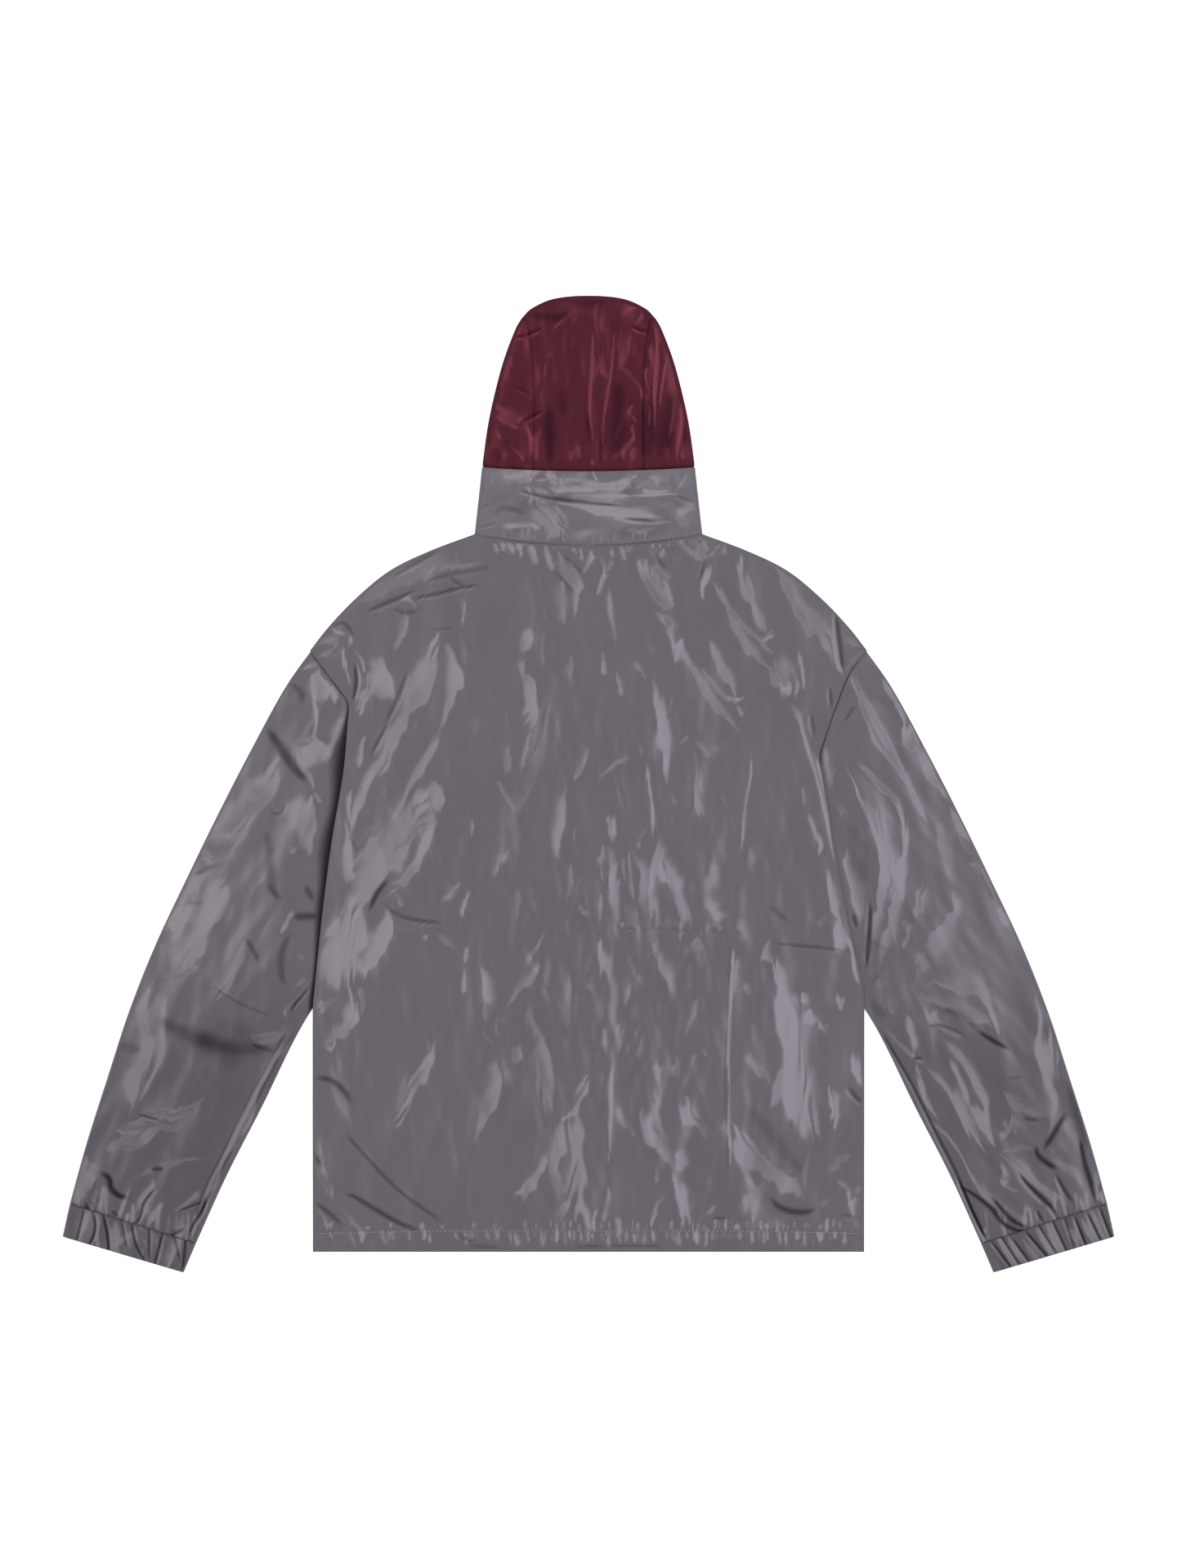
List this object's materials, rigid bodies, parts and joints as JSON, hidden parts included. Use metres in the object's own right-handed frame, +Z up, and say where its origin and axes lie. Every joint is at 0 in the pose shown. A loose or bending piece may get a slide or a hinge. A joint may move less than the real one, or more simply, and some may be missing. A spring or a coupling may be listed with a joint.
{
  "type": "hooded windbreaker",
  "caption": "Hooded windbreaker laid flat, face down: creased satin shell with gathered elastic cuffs, stand collar, panelled hood in a darker colour and a front zip underneath.",
  "frame": {"origin": "on the floor, under the middle of the garment's outline", "axes": "+Z up, out of the back; +Y from the hem to the hood; +X to the wearer's right sleeve"},
  "size_m": [1.0686, 0.9926, 0.0126],
  "materials": {
    "shell_satin": "grey satin-faced nylon, creased",
    "hood_satin": "burgundy satin-faced nylon, creased",
    "zip_tape": "woven tape, matt",
    "zip_metal": "dull plated metal"
  },
  "bodies": {
    "garment": {"back_panel": "shell_satin", "front_left": "shell_satin", "front_right": "shell_satin", "sleeve_left": "shell_satin", "sleeve_right": "shell_satin", "cuff_left": "shell_satin", "cuff_right": "shell_satin", "collar": "shell_satin", "hood_centre": "hood_satin", "hood_left": "hood_satin", "hood_right": "hood_satin", "zip_tape_left": "zip_tape", "zip_tape_right": "zip_tape", "zip_slider": "zip_metal"},
    "pull_tab": {"zip_pull_tab": "zip_metal"}
  },
  "joints": [
    {"name": "pull_tab_swing", "type": "hinge", "parent": "garment", "child": "pull_tab", "pos_m": [0, 0.296, 0.0017], "axis": [1, 0, 0], "range_deg": [0, 170]}
  ]
}
